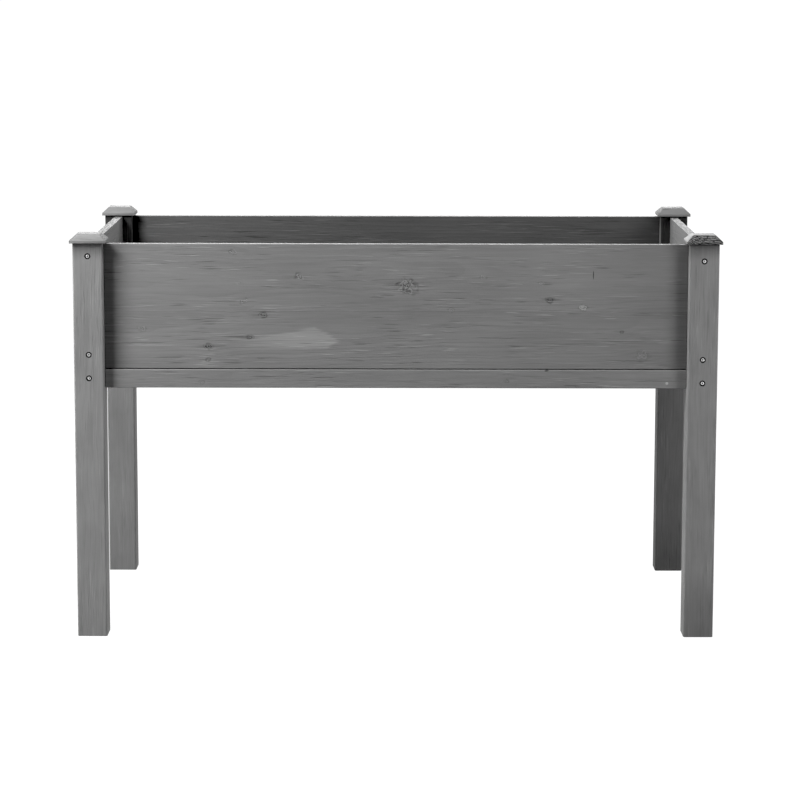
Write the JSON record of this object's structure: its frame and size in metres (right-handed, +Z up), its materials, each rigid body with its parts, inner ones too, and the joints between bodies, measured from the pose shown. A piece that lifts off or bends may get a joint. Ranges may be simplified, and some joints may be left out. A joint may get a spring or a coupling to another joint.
{
  "type": "raised planter",
  "caption": "Rectangular timber trough on square legs, with wide side boards over narrow rails, a slatted floor and chamfered post caps.",
  "frame": {"origin": "on the ground, under the middle of the trough", "axes": "+Z up, +X along the trough's length to the right, -Y out of its long front side"},
  "size_m": [1.232, 0.68, 0.7752],
  "materials": {
    "post_stain": "grey stain over softwood, satin, grain upright",
    "board_stain": "grey stain over knotty edge-glued softwood, satin, grain level",
    "rail_stain": "grey stain over softwood, satin, grain level",
    "cap_stain": "grey stain over softwood, satin, rough end grain",
    "floor_stain": "thin grey stain over rough-sawn softwood",
    "dowel_timber": "bare hardwood dowel",
    "screw_zinc": "zinc-plated pan-head wood screw"
  },
  "bodies": {
    "root": {"post_front_left": "post_stain", "post_front_right": "post_stain", "post_back_right": "post_stain", "post_back_left": "post_stain", "cap_front_left": "cap_stain", "cap_front_right": "cap_stain", "cap_back_right": "cap_stain", "cap_back_left": "cap_stain", "cap_dowel_front_left": "dowel_timber", "cap_dowel_front_right": "dowel_timber", "cap_dowel_back_right": "dowel_timber", "cap_dowel_back_left": "dowel_timber", "board_front": "board_stain", "board_right": "board_stain", "board_back": "board_stain", "board_left": "board_stain", "rail_front": "rail_stain", "rail_right": "rail_stain", "rail_back": "rail_stain", "rail_left": "rail_stain", "ledger_front": "floor_stain", "ledger_back": "floor_stain", "floor_slat_1": "floor_stain", "floor_slat_2": "floor_stain", "floor_slat_3": "floor_stain", "floor_slat_4": "floor_stain", "floor_slat_5": "floor_stain", "floor_slat_6": "floor_stain", "floor_slat_7": "floor_stain", "floor_slat_8": "floor_stain", "screw_front_left_top": "screw_zinc", "screw_front_left_middle": "screw_zinc", "screw_front_left_bottom": "screw_zinc", "screw_front_right_top": "screw_zinc", "screw_front_right_middle": "screw_zinc", "screw_front_right_bottom": "screw_zinc", "screw_right_front_top": "screw_zinc", "screw_right_front_middle": "screw_zinc", "screw_right_front_bottom": "screw_zinc", "screw_right_back_top": "screw_zinc", "screw_right_back_middle": "screw_zinc", "screw_right_back_bottom": "screw_zinc", "screw_back_right_top": "screw_zinc", "screw_back_right_middle": "screw_zinc", "screw_back_right_bottom": "screw_zinc", "screw_back_left_top": "screw_zinc", "screw_back_left_middle": "screw_zinc", "screw_back_left_bottom": "screw_zinc", "screw_left_back_top": "screw_zinc", "screw_left_back_middle": "screw_zinc", "screw_left_back_bottom": "screw_zinc", "screw_left_front_top": "screw_zinc", "screw_left_front_middle": "screw_zinc", "screw_left_front_bottom": "screw_zinc", "ledger_screw_front_1": "screw_zinc", "ledger_screw_front_2": "screw_zinc", "ledger_screw_front_3": "screw_zinc", "ledger_screw_back_1": "screw_zinc", "ledger_screw_back_2": "screw_zinc", "ledger_screw_back_3": "screw_zinc"}
  },
  "joints": []
}
